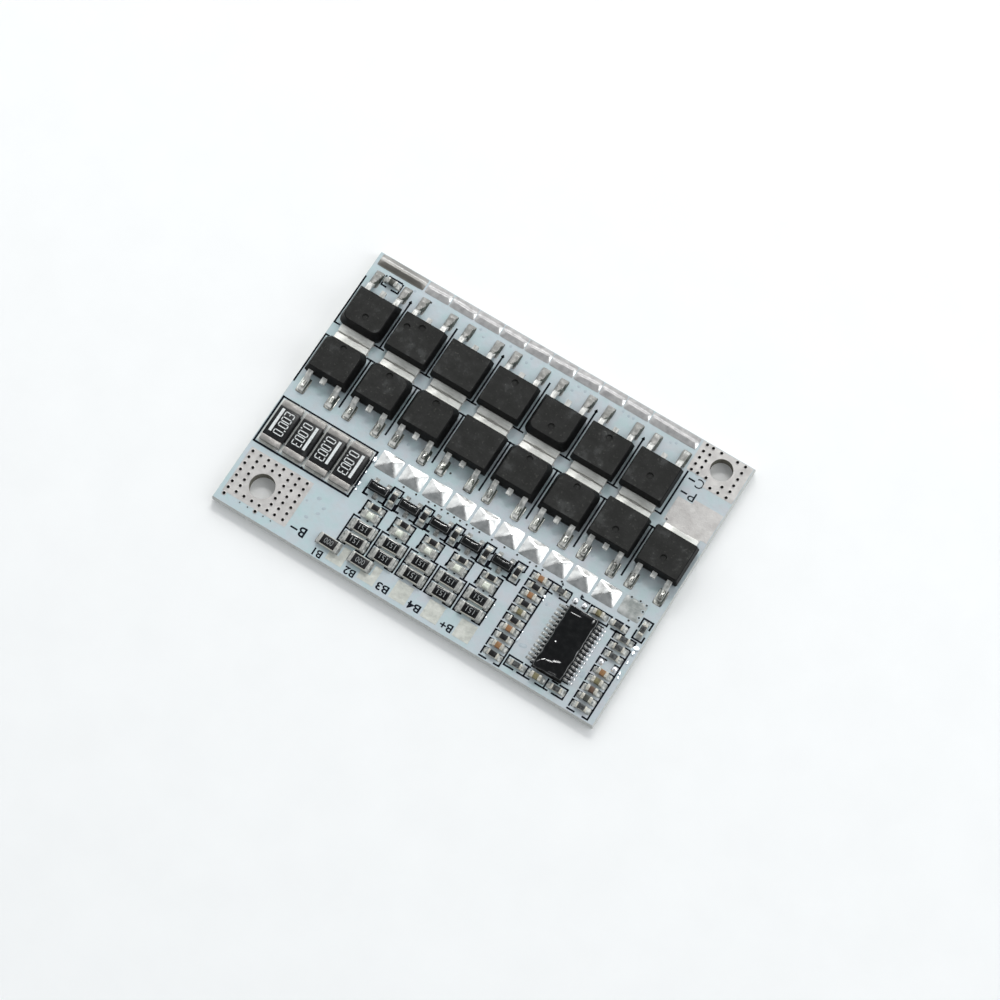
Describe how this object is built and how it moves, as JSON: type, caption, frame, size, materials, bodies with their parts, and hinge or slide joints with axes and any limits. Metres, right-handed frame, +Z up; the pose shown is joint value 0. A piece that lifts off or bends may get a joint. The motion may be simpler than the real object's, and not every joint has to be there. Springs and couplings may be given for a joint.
{
  "type": "battery management board",
  "caption": "White circuit board with two rows of power transistors, sensing resistors, balancing channels, a monitor chip, tinned screw and wire pads and solder rails.",
  "frame": {"origin": "middle of the board's flat underside", "axes": "+X along the board's length to the charger and load end, +Y across it to the long edge with the solder rail, +Z up out of the side with the components"},
  "size_m": [0.0604, 0.0424, 0.004],
  "materials": {
    "solder_mask": "satin",
    "tinned_copper": "satin",
    "solder": "bright",
    "black_epoxy": "matte",
    "gloss_epoxy": "gloss",
    "tinned_leads": "satin",
    "resistor_glaze": "satin",
    "capacitor_ceramic": "satin",
    "led_resin": "gloss"
  },
  "bodies": {
    "root": {"circuit_board": "solder_mask", "battery_negative_pad": "tinned_copper", "charge_negative_pad": "tinned_copper", "load_negative_pad": "tinned_copper", "cell_tap_pads": "tinned_copper", "drain_strips": "tinned_copper", "top_solder_rail": "solder", "middle_solder_rail": "solder", "component_pads": "solder", "mosfet_moulding_1": "black_epoxy", "mosfet_leadframe_1": "tinned_leads", "mosfet_moulding_2": "black_epoxy", "mosfet_leadframe_2": "tinned_leads", "mosfet_moulding_3": "black_epoxy", "mosfet_leadframe_3": "tinned_leads", "mosfet_moulding_4": "black_epoxy", "mosfet_leadframe_4": "tinned_leads", "mosfet_moulding_5": "black_epoxy", "mosfet_leadframe_5": "tinned_leads", "mosfet_moulding_6": "black_epoxy", "mosfet_leadframe_6": "tinned_leads", "mosfet_moulding_7": "black_epoxy", "mosfet_leadframe_7": "tinned_leads", "mosfet_moulding_8": "black_epoxy", "mosfet_leadframe_8": "tinned_leads", "mosfet_moulding_9": "black_epoxy", "mosfet_leadframe_9": "tinned_leads", "mosfet_moulding_10": "black_epoxy", "mosfet_leadframe_10": "tinned_leads", "mosfet_moulding_11": "black_epoxy", "mosfet_leadframe_11": "tinned_leads", "mosfet_moulding_12": "black_epoxy", "mosfet_leadframe_12": "tinned_leads", "mosfet_moulding_13": "black_epoxy", "mosfet_leadframe_13": "tinned_leads", "mosfet_moulding_14": "black_epoxy", "mosfet_leadframe_14": "tinned_leads", "mosfet_moulding_15": "black_epoxy", "mosfet_leadframe_15": "tinned_leads", "shunt_resistor_1": "resistor_glaze", "shunt_resistor_2": "resistor_glaze", "shunt_resistor_3": "resistor_glaze", "shunt_resistor_4": "resistor_glaze", "shunt_terminals": "tinned_leads", "balance_transistor_1": "gloss_epoxy", "balance_transistor_2": "gloss_epoxy", "balance_transistor_3": "gloss_epoxy", "balance_transistor_4": "gloss_epoxy", "balance_transistor_5": "gloss_epoxy", "balance_transistor_leads": "tinned_leads", "status_leds": "led_resin", "bleed_resistors": "resistor_glaze", "small_resistors": "resistor_glaze", "ceramic_capacitors": "capacitor_ceramic", "chip_terminals": "tinned_leads", "monitor_chip": "gloss_epoxy", "monitor_chip_leads": "tinned_leads"}
  },
  "joints": []
}
